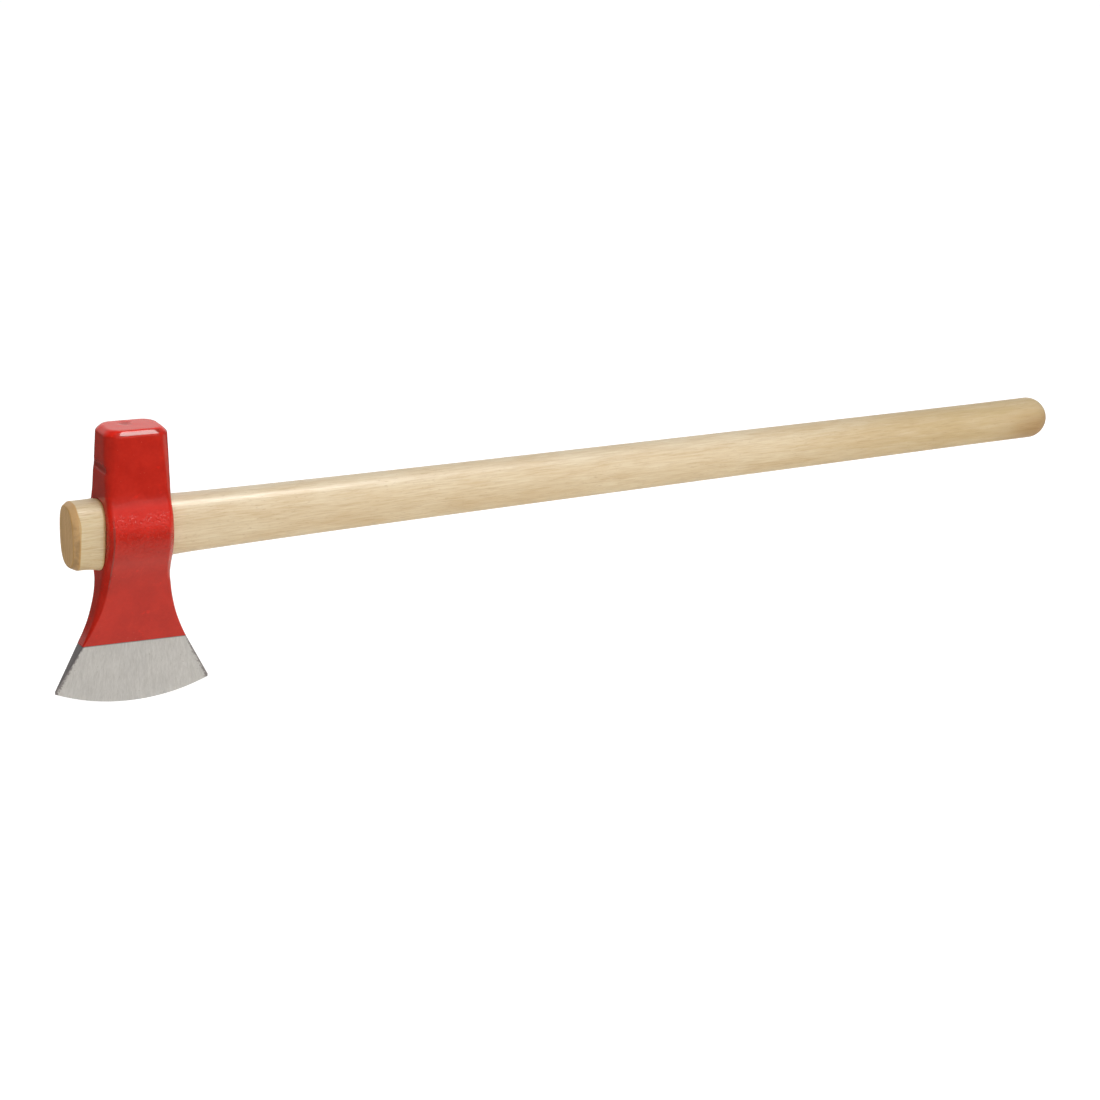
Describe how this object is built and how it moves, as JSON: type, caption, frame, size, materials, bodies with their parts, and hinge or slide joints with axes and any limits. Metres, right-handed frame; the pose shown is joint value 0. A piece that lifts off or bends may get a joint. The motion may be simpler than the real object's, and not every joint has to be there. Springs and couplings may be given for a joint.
{
  "type": "splitting maul",
  "caption": "Forged head with a flat striking poll and a flared ground blade, driven onto a long tapered wooden handle.",
  "frame": {"origin": "centre of the head's eye, on the handle's axis", "axes": "+X down the handle from the head to the butt, +Y across the head's cheeks, +Z out of the poll's striking face with the cutting edge down"},
  "size_m": [0.9135, 0.058, 0.2224],
  "materials": {
    "enamelled_steel": "gloss red enamel over forged steel, with the last 37 to 50 mm above the cutting edge ground bare",
    "beech": "pale beech under clear lacquer"
  },
  "bodies": {
    "handle": {"handle": "beech"},
    "head": {"maul_head": "enamelled_steel"}
  },
  "joints": [
    {"name": "head_slide", "type": "slide", "parent": "handle", "child": "head", "axis": [1, 0, 0], "range_m": [0, 0.88]}
  ]
}
